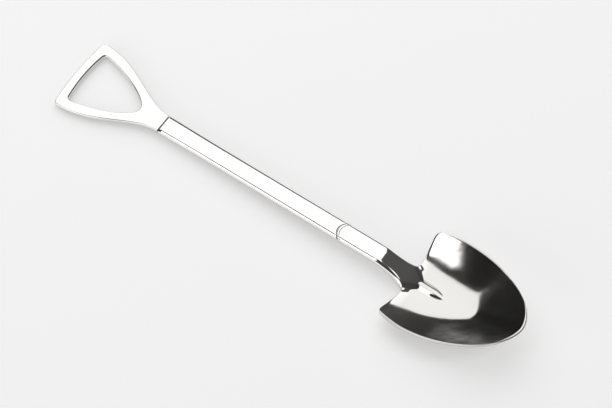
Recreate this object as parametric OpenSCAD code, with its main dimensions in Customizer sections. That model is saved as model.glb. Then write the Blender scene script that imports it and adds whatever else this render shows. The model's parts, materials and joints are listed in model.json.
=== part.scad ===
// Teaspoon in the form of a garden shovel, in polished stainless steel.
// A finger grip, a shaft and a dished blade with its socket are butted end to end on two hidden dowels.
// Shapes are drawn level, with X from the grip's end to the blade's tip and Z = 0 on the flat top,
// and are then tilted to lie on a table on the grip's end and the blade's belly.

/* [Grip] */
// Length of the grip, from the middle of its end bar to the seam
grip_length = 30.9; // [27:0.1:38]
// Width of the grip across its end bar
grip_width = 24.2; // [20:0.1:28]
// Thickness of the grip plate
grip_thickness = 2; // [1.8:0.1:2.4]
// Width of the end bar
end_bar = 2.7; // [2:0.1:4]
// Width of each side bar at the end bar
side_bar = 3.35; // [2.4:0.05:4]
// Length of solid metal between the finger hole and the seam
neck_length = 8.4; // [6:0.1:11]
// How far the end bar bows outwards
end_bow = 0.8; // [0:0.1:2]
// Size of the rounding at the grip's outer corners
outer_corner = 1.5; // [0.5:0.1:3]
// Size of the rounding at the finger hole's corners
hole_corner = 1.2; // [0.5:0.1:2.5]
// Reach of the shoulder curve from the end bar
shoulder_reach = 12.3; // [8:0.1:15]
// Reach of the shoulder curve back from the seam
neck_reach = 8.7; // [4:0.1:12]

/* [Shaft] */
// Length of the shaft between its seams
shaft_length = 60.7; // [40:0.1:90]
// Width of the shaft and of the socket
shaft_width = 5.8; // [4.6:0.1:7]
// Width of the shaft and of the grip at the seam between them
neck_width = 6.1; // [4.8:0.1:7.5]
// Length over which the shaft narrows away from the grip
neck_taper = 18; // [6:1:35]
// Thickness of the shaft at the grip
shaft_thickness = 2.3; // [2:0.1:3]
// Thickness of the shaft and of the socket where they meet
socket_thickness = 2.9; // [2.5:0.1:3.8]
// From each long edge in to the middle of the turn into its slanting shoulder
bevel_reach = 0.95; // [0.5:0.05:1.3]
// Height over which the flat top turns into each shoulder
bevel_blend = 0.2; // [0.05:0.01:0.3]
// Width of the rounding below each shoulder
edge_width = 0.3; // [0.05:0.05:0.5]
// Height of the rounding below each shoulder
edge_height = 0.5; // [0.1:0.05:0.6]

/* [Socket] */
// Length of the socket, from its mouth to the blade's back edge
socket_length = 24; // [18:0.1:32]
// From the bend, where the socket starts to dip, to the blade's back edge
bend_length = 9.7; // [7:0.1:14]
// Depth over which the bend is rounded
bend_blend = 0.22; // [0.05:0.01:0.6]
// How far the socket's mouth bows towards the grip
mouth_bow = 1.6; // [0.4:0.1:2.4]
// Width of the socket's foot on the blade's back edge
foot_width = 10.4; // [8:0.1:14]
// Length over which the socket flares to its foot
foot_flare = 6.5; // [3:0.1:9]
// How far the socket's slope runs on past the back edge
foot_reach = 3; // [1:0.1:5]
// Height over which the slope turns into the rib
foot_blend = 0.12; // [0.05:0.01:0.4]
// From where the slope's flat top starts to narrow to the back edge
taper_start = 1.5; // [0:0.1:4]
// Height of the rib over the blade's floor
rib_height = 0.75; // [0.3:0.05:1.4]
// Half width of the rib's crest
rib_flat = 0.4; // [0.1:0.05:1]
// Height over which the crest turns into each flank
crest_blend = 0.14; // [0.05:0.01:0.4]
// Height of the blend between the rib and the floor
rib_blend = 0.05; // [0.02:0.01:0.3]
// Length of the rib, from the back edge to its tip
rib_length = 11.5; // [7:0.1:15]
// Length over which the rib falls to the floor at its tip
rib_end = 5; // [2:0.1:7]

/* [Blade] */
// Length of the blade, from its back edge to its tip
blade_length = 36.8; // [28:0.1:46]
// Width of the blade at its widest
blade_width = 32.3; // [26:0.1:40]
// Thickness of the blade at its rim
blade_thickness = 1; // [0.8:0.05:1.4]
// Thickness of the blade at its belly
belly_thickness = 1.8; // [1.2:0.05:2.4]
// Distance from the back edge to the widest and deepest part
blade_belly = 8; // [6:0.1:12]
// How far each side draws in from the widest part to the back corner
corner_inset = 1; // [0.4:0.1:3]
// Width of the rounding at each back corner
corner_round = 2.6; // [1.5:0.1:4]
// Length of the rounding at each back corner
corner_length = 1.7; // [1:0.1:3]
// How far the back edge sweeps towards the grip at its ends
back_sweep = 1.3; // [0:0.1:2]
// Depth of the belly's underside below the shaft's flat top
belly_drop = 6.4; // [5:0.1:9]
// How far the floor rises from the belly to the back edge
floor_rise = 0.25; // [0:0.05:2]
// Height of the rim's back corners over the shaft's flat top
rim_back = -1; // [-1.5:0.1:1]
// Height of the rim's tip over the shaft's flat top
rim_tip = 5.1; // [3:0.1:9]

/* [Seams] */
// Diameter of the dowel between the grip and the shaft
grip_dowel_diameter = 1.2; // [0.8:0.05:1.3]
// Diameter of the dowel between the shaft and the socket
socket_dowel_diameter = 1.5; // [1:0.05:1.8]
// Length of each dowel
dowel_length = 10; // [6:0.5:12]
// Clearance around each dowel in its bore
dowel_clearance = 0.02; // [0.01:0.01:0.05]
// Clearance at each end of a dowel
dowel_end_gap = 0.1; // [0.05:0.05:0.3]
// Gap that the solder fills in each seam
seam_gap = 0.05; // [0.02:0.01:0.1]

/* [Hidden] */
// Power that gives the blade its plan, and the share of its rim line that curls up
plan_power = 1.8;
rim_curl = 0.6;
// Share of the way out from the belly at which the floor turns into a straight wall
side_wall_start = 0.6;
tip_wall_start = 0.34;
back_wall_start = 0.75;
// Share of its steepness that the wall loses towards the tip
tip_wall_ease = 0.3;
// Steepness of the bar's shoulders and of the rib's flanks
flank_slope = 0.48;
// Share of the way from the belly to the tip at which the sides hand over to the tip's arc
tip_share = 0.86;
// Steepness of the finger hole's sides at the end bar, and the pull of the curves at their ends
hole_slope = 0.18;
hole_side_pull = 0.54;
hole_apex_pull = 0.32;
// Pull of a rounded corner's curve towards the sharp corner
corner_pull = 0.6;

// Counts of the steps along and across each surface, and of the sides of a round rod
curve_steps = 14;
corner_steps = 6;
shaft_rows = 16;
socket_rows = 20;
blade_rows = 26;
bar_top_columns = 7;
bar_edge_columns = 2;
wing_columns = 9;
rod_sides = 48;

// Places along X
seam_x = grip_length;
mouth_x = seam_x + shaft_length;
back_x = mouth_x + socket_length;
belly_x = back_x + blade_belly;
tip_x = back_x + blade_length;
bend_x = back_x - bend_length;
flare_x = back_x - foot_flare;
foot_x = back_x + foot_reach;
rib_x = back_x + rib_length;

// The blade's corner, where its side begins, and the place where its tip's arc begins
corner_y = blade_width / 2 - corner_inset;
corner_x = back_x - back_sweep + corner_length;
arc_x = belly_x + tip_share * (tip_x - belly_x);

steel = "#d9dadc";
dowel_steel = "#a9abad";

// Place between two values, and a smooth step from 0 to 1
function blend(a, b, t) = a + (b - a) * t;
function ease(t) = t <= 0 ? 0 : t >= 1 ? 1 : t * t * (3 - 2 * t);

// Larger of a value and 0, with the bend between them rounded over the width given
function soft_floor(d, width) = d <= -width ? 0 : d >= width ? d : (d + width) * (d + width) / (4 * width);

// Points of a cubic curve, without its first one
function cubic(a, b, c, d, steps) = [
    for (k = [1 : steps]) let (t = k / steps, u = 1 - t)
        u * u * u * a + 3 * u * u * t * b + 3 * u * t * t * c + t * t * t * d
];

// Rounded corner from a to b about the sharp corner c
function rounded(a, c, b) = cubic(a, a + (c - a) * corner_pull, b + (c - b) * corner_pull, b, corner_steps);

// Closed outline from one half, between a first and a last point on the middle line
function both_halves(first, half, last) =
    concat(first, half, last, [for (k = [len(half) - 1 : -1 : 0]) [half[k].x, -half[k].y]]);

// End edge of the grip or its hole: a shallow bow across the given half width
function bow_x(y, half_width) = end_bow * pow(y / half_width, 2);
function end_edge(x, reach, half_width) = [
    for (k = [1 : corner_steps]) let (y = reach * k / corner_steps) [x + bow_x(y, half_width), y]
];

function grip_outline() = let (
    half_width = grip_width / 2,
    reach = half_width - outer_corner,
    edge_x = bow_x(reach, half_width),
    shoulder = [edge_x + outer_corner, half_width],
    neck = [seam_x, neck_width / 2],
    half = concat(
        end_edge(0, reach, half_width),
        rounded([edge_x, reach], [edge_x, half_width], shoulder),
        cubic(shoulder, shoulder + [shoulder_reach, 0], neck - [neck_reach, 0], neck, curve_steps)
    )
) both_halves([[0, 0]], half, []);

function finger_hole() = let (
    half_width = grip_width / 2 - side_bar,
    reach = half_width - hole_corner,
    edge_x = end_bar + bow_x(reach, half_width),
    side = [edge_x + hole_corner, half_width],
    apex = [seam_x - neck_length, 0],
    side_pull = hole_side_pull * (apex.x - side.x),
    half = concat(
        end_edge(end_bar, reach, half_width),
        rounded([edge_x, reach], [edge_x, half_width], side),
        cubic(
            side,
            side + side_pull * [1, -hole_slope],
            apex + [0, hole_apex_pull * half_width],
            apex,
            curve_steps
        )
    )
) both_halves([[end_bar, 0]], [for (k = [0 : len(half) - 2]) half[k]], [apex]);

// Columns across a bar: its flat top and shoulder on each side of the middle, then its rounded edge
bar_half_columns = bar_top_columns + bar_edge_columns;
bar_columns = [for (c = [-bar_half_columns : bar_half_columns]) c];
function edge_turn(c) = 90 * max(0, abs(c) - bar_top_columns) / bar_edge_columns;
function bar_y(c, half_width) = sign(c)
    * ((half_width - edge_width) * min(1, abs(c) / bar_top_columns) + edge_width * sin(edge_turn(c)));
function bar_drop(c, half_width) =
    soft_floor(flank_slope * (abs(bar_y(c, half_width)) - half_width + bevel_reach), bevel_blend)
    + edge_height * (1 - cos(edge_turn(c)));

// How far a column of the bar lies past the middle of the socket's bowed mouth
function mouth_curve(c) = mouth_bow * pow(2 * bar_y(c, shaft_width / 2) / shaft_width, 2);

// Half width of the shaft, and its thickness
function shaft_half_width(x) =
    (neck_width - (neck_width - shaft_width) * ease((x - seam_x) / neck_taper)) / 2;
function shaft_depth(x) =
    shaft_thickness + (socket_thickness - shaft_thickness) * (x - seam_x) / shaft_length;

// The shaft's top, or its underside, with the far end hollowed to take the socket's mouth
function shaft_point(k, c, under) = let (
    start_x = seam_x + seam_gap,
    end_x = mouth_x - seam_gap + mouth_curve(c),
    x = blend(start_x, end_x, k / shaft_rows),
    half_width = shaft_half_width(x),
    drop = bar_drop(c, half_width)
) [x, bar_y(c, half_width), under ? drop - shaft_depth(min(x, mouth_x)) : -drop];

// Half width of the blade's side in plan
function blade_half_width(x) = x < belly_x
    ? blade_width / 2 - corner_inset * pow((belly_x - x) / (belly_x - corner_x), 2)
    : blade_width / 2 * pow(1 - pow((x - belly_x) / (tip_x - belly_x), plan_power), 1 / plan_power);

// Tip's arc and back edge in plan
function arc_edge(y) =
    belly_x + (tip_x - belly_x) * pow(1 - pow(abs(y) / (blade_width / 2), plan_power), 1 / plan_power);
function back_edge(y) = let (
    out = max(0, abs(y) - foot_width / 2) / (corner_y - foot_width / 2),
    round = max(0, (abs(y) - corner_y + corner_round) / corner_round)
) back_x - back_sweep * out + corner_length * (1 - sqrt(max(0, 1 - round * round)));

// Place of the blade's grid in plan: rows run from the back edge to the tip's arc
function blade_plan(k, share) = let (
    t = k / blade_rows,
    side_x = corner_x + (arc_x - corner_x) * t,
    half_width = blade_half_width(side_x),
    back = back_edge(share * corner_y) - corner_x,
    front = arc_edge(share * blade_half_width(arc_x)) - arc_x
) [side_x + back * pow(1 - t, 2) + front * t * t, share * half_width];

// Height of the rim line's underside
function rim_height(x) = let (t = (x - corner_x) / (tip_x - corner_x))
    blend(rim_back, rim_tip, blend(t, t * t, rim_curl));

// Share of the way from the belly to the tip, and from the floor's middle out to the rim
function tip_way(x) = max(0, x - belly_x) / (tip_x - belly_x);
function out_share(x, y) = x < belly_x
    ? abs(y) / blade_half_width(x)
    : pow(pow(tip_way(x), plan_power) + pow(abs(y) / (blade_width / 2), plan_power), 1 / plan_power);

// Share of the blade's depth on the way out to its rim: a round floor, then a wall that eases off
function hollow(out, wall_start, wall_ease) = let (
    floor_share = wall_start / 2,
    wall_width = 1 - wall_start,
    steepest = 1 / (floor_share + wall_width * (1 - wall_ease / 2)),
    over = out - wall_start
) steepest * (
    over < 0
        ? floor_share * pow(out / wall_start, 2)
        : floor_share + over * (1 - wall_ease / 2 * over / wall_width)
);

// Top of the blade without the rib, and its underside
function floor_top(x, y) = let (
    back_way = pow(max(0, belly_x - x) / blade_belly, 2),
    tip_turn = ease(tip_way(x)),
    wall_start = side_wall_start + (back_wall_start - side_wall_start) * back_way
        + (tip_wall_start - side_wall_start) * tip_turn
) blend(
    belly_thickness - belly_drop + floor_rise * back_way,
    blade_thickness + rim_height(x),
    hollow(out_share(x, y), wall_start, tip_wall_ease * tip_turn)
);
function underside(x, y) =
    floor_top(x, y) - blend(belly_thickness, blade_thickness, pow(min(1, out_share(x, y)), 2));

// Crest of the socket, its slope and the rib along the middle line
foot_slope = (floor_top(foot_x, 0) + rib_height) / (foot_x - bend_x);
function crest(x) = let (
    dip = -soft_floor(foot_slope * (bend_x - x), bend_blend),
    rib = floor_top(max(x, back_x), 0) + rib_height * ease((rib_x - x) / rib_end)
) rib + soft_floor(dip - rib, foot_blend);

// Fall from the crest to each side, beside a flat top that narrows towards the rib
taper_x = back_x - taper_start;
function flank(x, y) = let (
    taper = min(1, max(0, (x - taper_x) / (foot_x - taper_x))),
    flat = blend(shaft_width / 2, rib_flat, taper)
) soft_floor(flank_slope * (abs(y) - flat), crest_blend);

// Top of the socket, of its foot and of the rib, down to the blade's floor
function foot_top(x, y) = let (floor_z = floor_top(max(x, back_x), y))
    floor_z + soft_floor(crest(x) - flank(x, y) - floor_z, rib_blend);

// Columns across the blade: a wing, the foot and the other wing, as shares of its half width
foot_share = foot_width / 2 / corner_y;
wing = [for (k = [0 : wing_columns - 1]) blend(1, foot_share, k / wing_columns)];
blade_columns = concat(
    -wing,
    [for (c = bar_columns) bar_y(c, foot_width / 2) / corner_y],
    [for (k = [wing_columns - 1 : -1 : 0]) wing[k]]
);

function blade_point(k, share, under) = let (p = blade_plan(k, share))
    [p.x, p.y, under ? underside(p.x, p.y) : foot_top(p.x, p.y)];

// The socket's top, or its underside: a bar at the mouth that melts into the blade's first row
function socket_half_width(x) = let (t = max(0, (x - flare_x) / foot_flare))
    blend(shaft_width, foot_width, 1 - sqrt(max(0, 1 - t * t))) / 2;
function socket_point(k, c, under) = let (
    t = sin(90 * k / socket_rows),
    x = mouth_x + socket_length * t + mouth_curve(c) * pow(1 - t, 2),
    half_width = socket_half_width(x),
    y = bar_y(c, half_width),
    drop = bar_drop(c, half_width),
    turn = ease((x - flare_x) / foot_flare),
    foot = underside(back_x, bar_y(c, foot_width / 2)) - crest(back_x)
) [x, y, under ? crest(x) + blend(drop - socket_thickness, foot, turn) : foot_top(x, y) - drop * (1 - turn)];

// Solid between a top and an underside that share their grid, from the top's quads and its border
module slab(top, under, quads, border) {
    count = len(top);
    last = len(border) - 1;
    walls = [for (k = [0 : last]) [border[k], border[k == last ? 0 : k + 1]]];
    polyhedron(
        points = concat(top, under),
        faces = [
            for (q = quads) each [[q[0], q[1], q[2]], [q[0], q[2], q[3]]],
            for (q = quads) let (u = q + count * [1, 1, 1, 1]) each [[u[2], u[1], u[0]], [u[3], u[2], u[0]]],
            for (w = walls) each [[w[0], w[1], w[1] + count], [w[0], w[1] + count, w[0] + count]]
        ]
    );
}

// Row and column numbers of a plain grid
function cells(rows, columns) = [
    for (i = [0 : rows - 1], j = [0 : columns - 1]) [[i, j], [i, j + 1], [i + 1, j + 1], [i + 1, j]]
];

module shaft_bar() {
    columns = 2 * bar_half_columns;
    at = function (i, j) i * (columns + 1) + j;
    slab(
        [for (i = [0 : shaft_rows], c = bar_columns) shaft_point(i, c, false)],
        [for (i = [0 : shaft_rows], c = bar_columns) shaft_point(i, c, true)],
        [for (c = cells(shaft_rows, columns)) [for (p = c) at(p[0], p[1])]],
        [
            for (i = [0 : shaft_rows - 1]) at(i, 0),
            for (j = [0 : columns - 1]) at(shaft_rows, j),
            for (i = [shaft_rows : -1 : 1]) at(i, columns),
            for (j = [columns : -1 : 1]) at(0, j)
        ]
    );
}

module socket_and_bowl() {
    bar = 2 * bar_half_columns;
    wide = len(blade_columns) - 1;
    socket_count = socket_rows * (bar + 1);
    bowl = function (i, j) socket_count + i * (wide + 1) + j;
    socket = function (i, j) i < socket_rows ? i * (bar + 1) + j : bowl(0, wing_columns + j);
    slab(
        [
            for (i = [0 : socket_rows - 1], c = bar_columns) socket_point(i, c, false),
            for (i = [0 : blade_rows], share = blade_columns) blade_point(i, share, false)
        ],
        [
            for (i = [0 : socket_rows - 1], c = bar_columns) socket_point(i, c, true),
            for (i = [0 : blade_rows], share = blade_columns) blade_point(i, share, true)
        ],
        [
            for (c = cells(socket_rows, bar)) [for (p = c) socket(p[0], p[1])],
            for (c = cells(blade_rows, wide)) [for (p = c) bowl(p[0], p[1])]
        ],
        [
            for (i = [0 : socket_rows - 1]) socket(i, 0),
            for (j = [wing_columns : -1 : 1]) bowl(0, j),
            for (i = [0 : blade_rows - 1]) bowl(i, 0),
            for (j = [0 : wide - 1]) bowl(blade_rows, j),
            for (i = [blade_rows : -1 : 1]) bowl(i, wide),
            for (j = [wide : -1 : wide - wing_columns + 1]) bowl(0, j),
            for (i = [socket_rows : -1 : 1]) socket(i, bar),
            for (j = [bar : -1 : 1]) socket(0, j)
        ]
    );
}

// Rod along X about a seam, for a dowel or for its bore
module rod(seam, depth, diameter, length) {
    translate([seam - length / 2, 0, -depth])
        rotate([0, 90, 0])
            cylinder(d = diameter, h = length, $fn = rod_sides);
}

module bore(seam, depth, diameter) {
    rod(seam, depth, diameter + 2 * dowel_clearance, dowel_length + 2 * dowel_end_gap);
}

// The dowels lie at half the thickness of the thinner end
grip_dowel_depth = grip_thickness / 2;
socket_dowel_depth = socket_thickness / 2;

// Tilt at which the grip's end and the belly both touch the table, and the middle of the length
rest_tilt = max([
    for (i = [0 : blade_rows], share = blade_columns)
        let (p = blade_point(i, share, true)) atan2(-p.z - grip_thickness, p.x)
]);
near_x = -grip_thickness * sin(rest_tilt);
far_x = tip_x * cos(rest_tilt) - (rim_tip + grip_thickness) * sin(rest_tilt);

module lie_on_table() {
    translate([-(near_x + far_x) / 2, 0, 0])
        rotate([0, -rest_tilt, 0])
            translate([0, 0, grip_thickness])
                children();
}

module grip() color(steel) lie_on_table() difference() {
    translate([0, 0, -grip_thickness])
        linear_extrude(grip_thickness)
            difference() {
                polygon(grip_outline());
                polygon(finger_hole());
            }
    bore(seam_x, grip_dowel_depth, grip_dowel_diameter);
}

module shaft() color(steel) lie_on_table() difference() {
    shaft_bar();
    bore(seam_x, grip_dowel_depth, grip_dowel_diameter);
    bore(mouth_x, socket_dowel_depth, socket_dowel_diameter);
}

module blade() color(steel) lie_on_table() difference() {
    socket_and_bowl();
    bore(mouth_x, socket_dowel_depth, socket_dowel_diameter);
}

module grip_dowel() color(dowel_steel) lie_on_table()
    rod(seam_x, grip_dowel_depth, grip_dowel_diameter, dowel_length);

module socket_dowel() color(dowel_steel) lie_on_table()
    rod(mouth_x, socket_dowel_depth, socket_dowel_diameter, dowel_length);

grip();
shaft();
blade();
grip_dowel();
socket_dowel();
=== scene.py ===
"""Teaspoon in the form of a garden shovel, in polished stainless steel, lying on a pale table."""

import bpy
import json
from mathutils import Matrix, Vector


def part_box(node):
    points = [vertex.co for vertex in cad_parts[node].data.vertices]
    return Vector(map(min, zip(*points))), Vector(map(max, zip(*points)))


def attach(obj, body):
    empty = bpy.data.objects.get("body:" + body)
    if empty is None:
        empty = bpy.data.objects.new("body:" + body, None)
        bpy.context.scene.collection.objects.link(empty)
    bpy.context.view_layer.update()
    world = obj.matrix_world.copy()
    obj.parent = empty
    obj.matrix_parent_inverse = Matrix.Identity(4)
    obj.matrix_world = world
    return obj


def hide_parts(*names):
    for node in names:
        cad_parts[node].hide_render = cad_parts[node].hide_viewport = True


bl_info = {
    "name": "Shovel teaspoon",
    "version": (1, 0, 0),
    "blender": (4, 5, 0),
    "location": "3D View > Sidebar > Teaspoon",
    "description": "Makes the grip, shaft and blade of a shovel teaspoon around its packed frame",
    "category": "Object",
}

import json
from math import asin, atan2, cos, pi, radians, sin, sqrt

import bmesh
import bpy
from bpy.props import FloatProperty, FloatVectorProperty, PointerProperty
from bpy.types import Operator, Panel, PropertyGroup
from mathutils import Matrix, Vector

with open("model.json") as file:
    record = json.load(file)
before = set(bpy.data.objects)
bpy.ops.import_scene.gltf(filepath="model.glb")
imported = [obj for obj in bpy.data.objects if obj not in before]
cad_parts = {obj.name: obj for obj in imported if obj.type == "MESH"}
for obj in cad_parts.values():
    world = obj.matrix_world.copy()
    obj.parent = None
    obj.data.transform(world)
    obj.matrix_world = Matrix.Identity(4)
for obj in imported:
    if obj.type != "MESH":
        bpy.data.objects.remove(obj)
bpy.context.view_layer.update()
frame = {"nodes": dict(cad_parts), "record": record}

MM = 0.001

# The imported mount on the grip's flat underside gives the tilt at which the spoon lies
MOUNTS = {mount["name"]: mount for mount in frame["record"]["mounts"]}
REST_TILT = asin(MOUNTS["grip_underside"]["axis"][0])

# Most that a piece's box may differ from the box of the node that it stands for
NODE_MARGIN = 0.6 * MM

# Corners closer than this are merged, and edges blunter than this are shaded smooth
MERGE_DISTANCE = 0.001 * MM
SMOOTH_ANGLE = radians(40)

# Columns across half of a bar's flat top and its rounded edge, and across each wing of the blade
BAR_TOP_COLUMNS = 32
EDGE_COLUMNS = 3
BAR_COLUMNS = BAR_TOP_COLUMNS + EDGE_COLUMNS
WING_COLUMNS = 18
HALF_COLUMNS = BAR_COLUMNS + WING_COLUMNS

# Rows along the shaft, the blade, the socket and the lip at the socket's mouth
SHAFT_ROWS = 30
BLADE_ROWS = 60
SOCKET_ROWS = 46
LIP_ROWS = 12

# Power by which a bar's columns crowd towards its edges, and share by which rows crowd to the back edge
EDGE_CROWDING = 1.2
ROW_CROWDING = 0.55

# Share of a stretch that its narrow last row or column takes
END_MARGIN = 0.003
RIM_MARGIN = 0.03
BACK_MARGIN = 0.012

# Steps across each shoulder of the grip, and along each stretch of its half outline
PLATE_TOP_STEPS = 18
SEAM_STEPS = 3
FLANK_STEPS = 44
CORNER_STEPS = 10
END_STEPS = 16

# Flat layouts: where the foot's columns end on the slab, the slack there, and the ring that becomes the grip
FOOT_OUT = BAR_COLUMNS / HALF_COLUMNS
LAYOUT_SLACK = 0.001
RING_RADIUS = 1
RING_TUBE = 0.5

# Fine lines in a finish are drawn long along the spoon
LINE_STRETCH = (0.05, 1, 1)

# Levels of detail in the patches of haze, in the buffing lines and in the lines along the rods
HAZE_DETAIL = 4
BUFFING_DETAIL = 2
ROD_DETAIL = 3

# Rays that feel for the spoon over each spot of the table, for the painted contact shade in the table's glow
PAINTED_SHADE_RAYS = 16


def size(name, description, millimetres):
    """A length that a user can change, written in millimetres."""
    return FloatProperty(
        name=name,
        description=description,
        default=millimetres * MM,
        precision=5,
        subtype="DISTANCE",
        unit="LENGTH",
    )


def factor(name, description, value):
    """A plain number that a user can change."""
    return FloatProperty(name=name, description=description, default=value, subtype="FACTOR")


def angle(name, description, degrees):
    """An angle that a user can change, written in degrees."""
    return FloatProperty(
        name=name, description=description, default=radians(degrees), subtype="ANGLE", unit="ROTATION"
    )


def spot(name, description, *millimetres):
    """A place that a user can change: to the camera's right, away from it and up, in millimetres."""
    return FloatVectorProperty(
        name=name,
        description=description,
        default=[along * MM for along in millimetres],
        subtype="TRANSLATION",
        unit="LENGTH",
    )


def heading(name, description, *shares):
    """A direction that a user can change: to the camera's right, away from it and up."""
    return FloatVectorProperty(name=name, description=description, default=shares, subtype="DIRECTION")


def linear(hex_value):
    """Turns an sRGB hex value to linear red, green, blue and alpha."""
    channels = [int(hex_value[k : k + 2], 16) / 255 for k in (1, 3, 5)]
    return [c / 12.92 if c <= 0.04045 else ((c + 0.055) / 1.055) ** 2.4 for c in channels] + [1.0]


def colour(name, description, hex_value):
    """A colour that a user can change, written as an sRGB hex value."""
    return FloatVectorProperty(
        name=name, description=description, default=linear(hex_value), size=4, min=0, max=1, subtype="COLOR"
    )


def softbox(place, width, depth, turn, tilt, radiance):
    """The settings of a softbox that a user can change."""
    return {
        "place": spot("Place", "Of the softbox's middle", *place),
        "width": size("Width", "Of the softbox", width),
        "depth": size("Depth", "Of the softbox", depth),
        "turn": angle("Turn", "Of the softbox in its own plane", turn),
        "tilt": angle("Tilt", "Of the softbox from facing down", tilt),
        "radiance": factor("Radiance", "Brightness of the softbox, where 1 is white", radiance),
    }


class GripSizes(PropertyGroup):
    """Sizes of the finger grip."""

    length: size("Length", "From the middle of the end bar to the seam", 30.9)
    width: size("Width", "Across the end bar", 24.2)
    thickness: size("Thickness", "Of the flat plate", 2)
    end_bar: size("End bar", "Width of the end bar", 2.7)
    side_bar: size("Side bar", "Width of each side bar at the end bar", 3.35)
    neck_length: size("Neck length", "Solid metal between the finger hole and the seam", 8.4)
    end_bow: size("End bow", "How far the end bar bows outwards", 0.8)
    outer_corner: size("Outer corner", "Rounding at the outer corners", 1.5)
    hole_corner: size("Hole corner", "Rounding at the finger hole's corners", 1.2)
    shoulder_reach: size("Shoulder reach", "Reach of the shoulder curve from the end bar", 12.3)
    neck_reach: size("Neck reach", "Reach of the shoulder curve back from the seam", 8.7)
    edge_reach: size("Edge reach", "From each edge in to the turn into its shoulder", 0.3)
    edge_blend: size("Edge blend", "Height over which the flat top turns into each shoulder", 0.1)
    chamfer: size("Chamfer", "Width of the steep chamfer below each shoulder", 0.28)


class ShaftSizes(PropertyGroup):
    """Sizes of the shaft, and of the edges and seams that the other pieces share with it."""

    length: size("Length", "Between its seams", 60.7)
    width: size("Width", "Of the shaft and of the socket", 5.8)
    neck_width: size("Neck width", "At the seam with the grip", 6.1)
    neck_taper: size("Neck taper", "Length over which the shaft narrows away from the grip", 18)
    thickness: size("Thickness", "At the grip", 2.3)
    socket_thickness: size("Socket thickness", "Where the shaft meets the socket", 2.9)
    shoulder_reach: size("Shoulder reach", "From each edge in to the turn into its shoulder", 0.95)
    shoulder_blend: size("Shoulder blend", "Height of the turn into each shoulder, at the socket", 0.28)
    neck_blend: size("Neck blend", "Height of the turn into each shoulder, at the grip", 0.12)
    chamfer: size("Chamfer", "Width of the steep chamfer below each shoulder", 0.2)
    chamfer_blend: size("Chamfer blend", "Height over which each shoulder turns into its chamfer", 0.08)
    edge_width: size("Edge width", "Width of the rounding below each chamfer", 0.05)
    edge_height: size("Edge height", "Height of the rounding below each chamfer", 0.1)
    seam_gap: size("Seam gap", "How far the grip and the shaft stop short of each seam", 0.065)


class BladeSizes(PropertyGroup):
    """Sizes of the blade and of the socket that is one piece with it."""

    socket_length: size("Socket length", "From its mouth to the blade's back edge", 24)
    bend_length: size("Bend length", "From where the socket starts to dip to the blade's back edge", 9.7)
    bend_blend: size("Bend blend", "Depth over which the bend is rounded", 0.22)
    mouth_bow: size("Mouth bow", "How far the socket's mouth bows towards the grip", 1.6)
    lip_width: size("Lip width", "Width of the raised lip around the socket's mouth", 0.8)
    lip_fall: size("Lip fall", "Width over which the lip falls to the socket's top", 0.35)
    lip_height: size("Lip height", "Height of the raised lip around the socket's mouth", 0.1)
    foot_width: size("Foot width", "Width of the socket's foot on the blade's back edge", 10.4)
    foot_flare: size("Foot flare", "Length over which the socket flares to its foot", 6.5)
    foot_reach: size("Foot reach", "How far the socket's slope runs on past the back edge", 3)
    foot_blend: size("Foot blend", "Height over which the slope turns into the rib", 0.12)
    taper_start: size("Taper start", "From where the slope's flat top narrows to the back edge", 1.5)
    foot_rim: size("Foot rim", "Width of the step around the foot", 0.8)
    foot_step: size("Foot step", "Height of the step around the foot", 0.39)
    foot_fade: size("Foot fade", "How far the step around the foot runs on past the back edge", 2.4)
    rib_height: size("Rib height", "Height of the rib over the floor", 0.75)
    rib_flat: size("Rib flat", "Half width of the rib's crest", 0.4)
    crest_blend: size("Crest blend", "Height over which the crest turns into each flank", 0.14)
    rib_blend: size("Rib blend", "Height of the blend between the rib and the floor", 0.05)
    rib_length: size("Rib length", "From the back edge to the rib's tip", 11.5)
    rib_end: size("Rib end", "Length over which the rib falls to the floor at its tip", 5)
    length: size("Length", "From the blade's back edge to its tip", 36.8)
    width: size("Width", "At the widest", 32.9)
    thickness: size("Thickness", "At the rim", 1)
    rim_inset: size("Rim inset", "How far the rim's top edge lies in from its lower edge", 0.4)
    belly_thickness: size("Belly thickness", "At the belly", 1.8)
    belly: size("Belly", "Distance from the back edge to the widest and deepest part", 8)
    corner_inset: size("Corner inset", "How far each side draws in to the back corner", 1)
    corner_round: size("Corner round", "Width of the rounding at each back corner", 2.6)
    corner_length: size("Corner length", "Length of the rounding at each back corner", 1.7)
    back_sweep: size("Back sweep", "How far the back edge sweeps towards the grip at its ends", 1.3)
    belly_drop: size("Belly drop", "Depth of the belly's underside below the shaft's flat top", 6.4)
    floor_rise: size("Floor rise", "How far the floor rises from the belly to the back edge", 0.25)
    roll_width: size("Roll width", "Width of the roll along the back edge", 0.7)
    roll_depth: size("Roll depth", "Drop of the floor over the roll along the back edge", 0.1)
    rim_back: size("Rim back", "Height of the rim's underside at the back corners, over the shaft's top", -1)
    rim_tip: size("Rim tip", "Height of the rim's underside at the tip, over the shaft's top", 5.1)


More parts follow.
